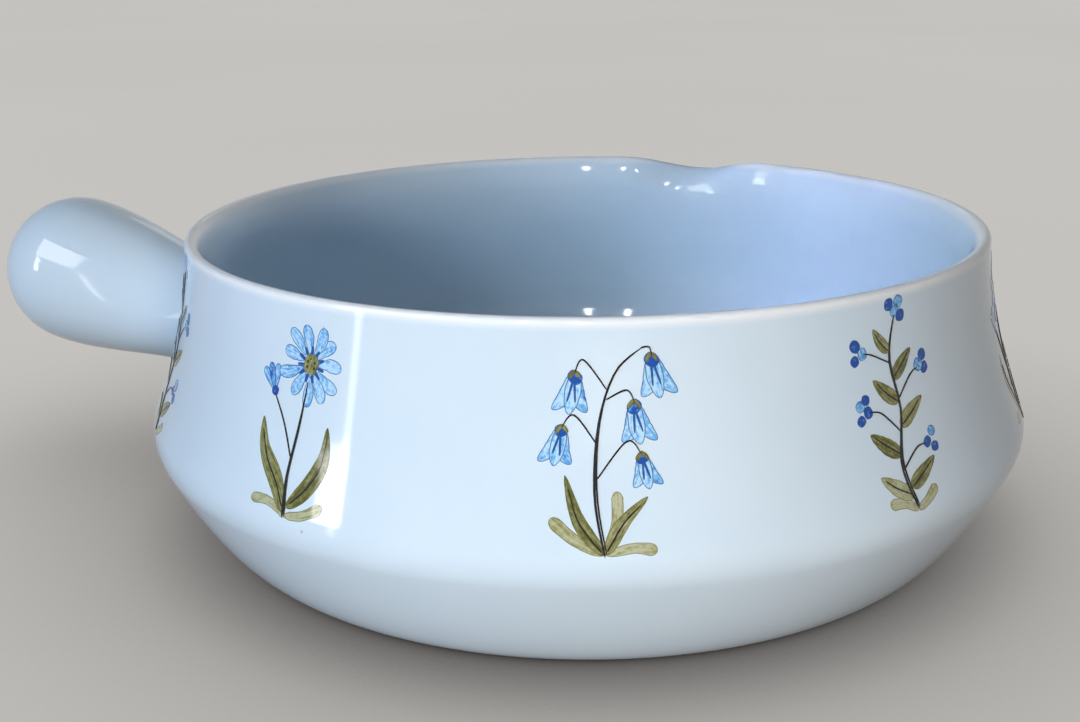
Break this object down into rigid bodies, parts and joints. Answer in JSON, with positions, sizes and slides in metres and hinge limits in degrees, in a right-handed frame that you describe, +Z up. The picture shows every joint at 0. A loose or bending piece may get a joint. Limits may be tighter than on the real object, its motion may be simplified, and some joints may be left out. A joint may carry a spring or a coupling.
{
  "type": "one-handled bowl",
  "caption": "Low round glazed pottery bowl that draws in from a wide belly to its rim, with a pinched pouring lip and a hollow club handle luted to the wall.",
  "frame": {"origin": "on the bowl's axis, in the plane that it stands on", "axes": "+Z up along the bowl's axis, the handle along -X, the pouring lip towards +Y"},
  "size_m": [0.2553, 0.1988, 0.0688],
  "materials": {
    "white_glaze": "clear gloss glaze over a cool white body",
    "blue_paint": "blue brushwork under a gloss glaze",
    "olive_paint": "olive green brushwork under a gloss glaze",
    "black_paint": "thin black brush lines under a gloss glaze"
  },
  "bodies": {
    "root": {"bowl_body": "white_glaze", "handle": "white_glaze", "handle_luting": "white_glaze"}
  },
  "joints": []
}
